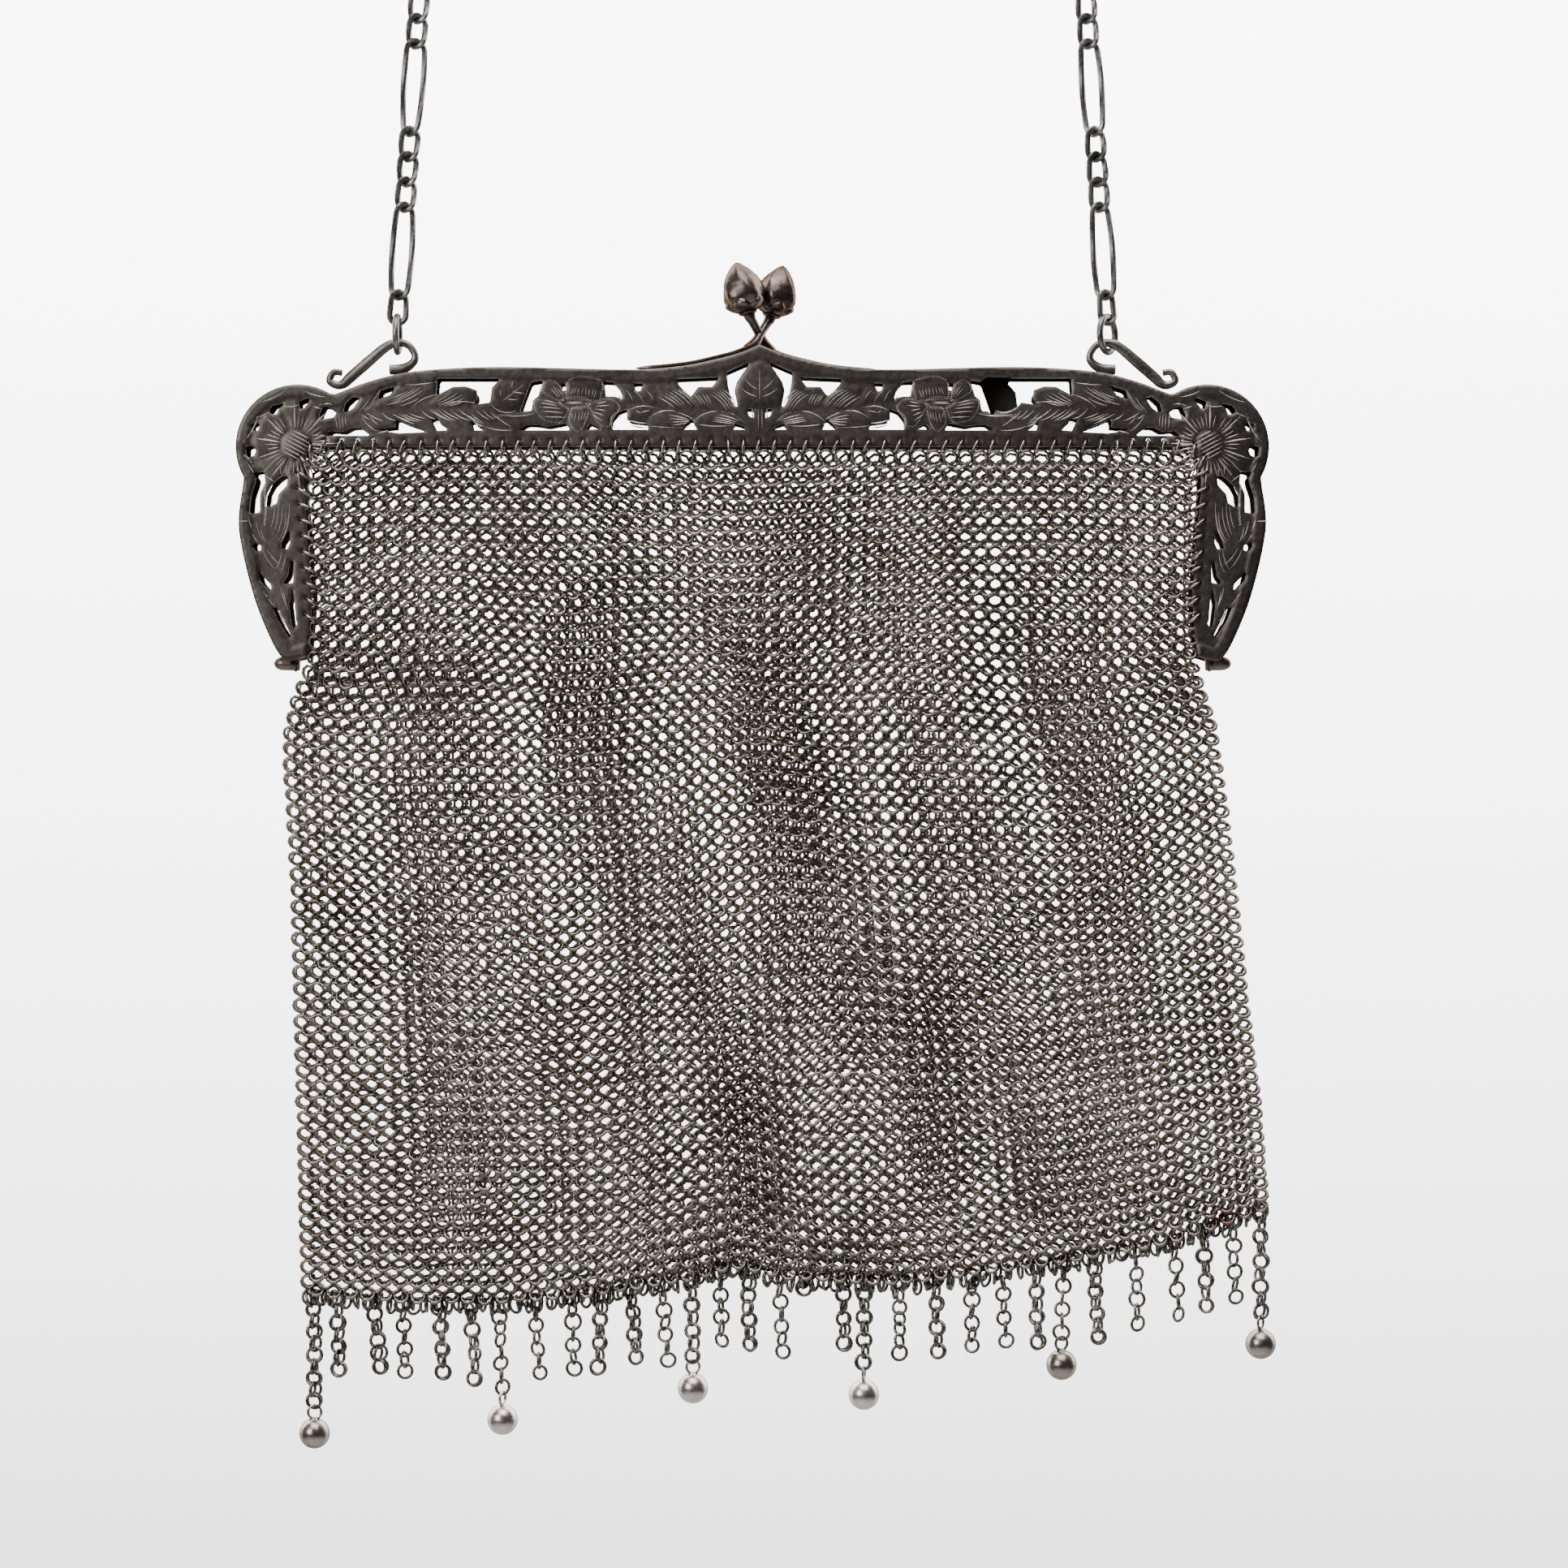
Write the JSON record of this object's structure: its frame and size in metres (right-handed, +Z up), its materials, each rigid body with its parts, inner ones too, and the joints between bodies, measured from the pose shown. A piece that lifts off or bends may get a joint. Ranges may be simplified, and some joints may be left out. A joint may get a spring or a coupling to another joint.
{
  "type": "metal mesh purse",
  "caption": "Ring-mesh evening purse with a pierced hinged frame, bud clasp, carrying chain and ball fringe.",
  "frame": {"origin": "the hang point, on the under side of the top chain link, where the chain lies over an arm or a peg", "axes": "+Z up along the hanging purse, +X along the frame to the right seen from the front, +Y from front to back"},
  "size_m": [0.173, 0.0136, 0.3064],
  "materials": {
    "frame_silver": "tarnished engraved silver",
    "chain_silver": "tarnished silver wire",
    "mesh_silver": "worn silver rings, dark between",
    "ball_silver": "tarnished polished silver"
  },
  "bodies": {
    "root": {"frame_front": "frame_silver", "frame_back": "frame_silver", "clasp_front": "frame_silver", "clasp_back": "frame_silver", "hinge_left": "frame_silver", "hinge_right": "frame_silver", "chain_hook_left": "frame_silver", "chain_hook_right": "frame_silver", "jump_ring_left": "chain_silver", "jump_ring_right": "chain_silver", "chain": "chain_silver", "mesh_bag": "mesh_silver", "fringe": "mesh_silver", "fringe_ball_1": "ball_silver", "fringe_ball_2": "ball_silver", "fringe_ball_3": "ball_silver", "fringe_ball_4": "ball_silver", "fringe_ball_5": "ball_silver", "fringe_ball_6": "ball_silver"}
  },
  "joints": []
}
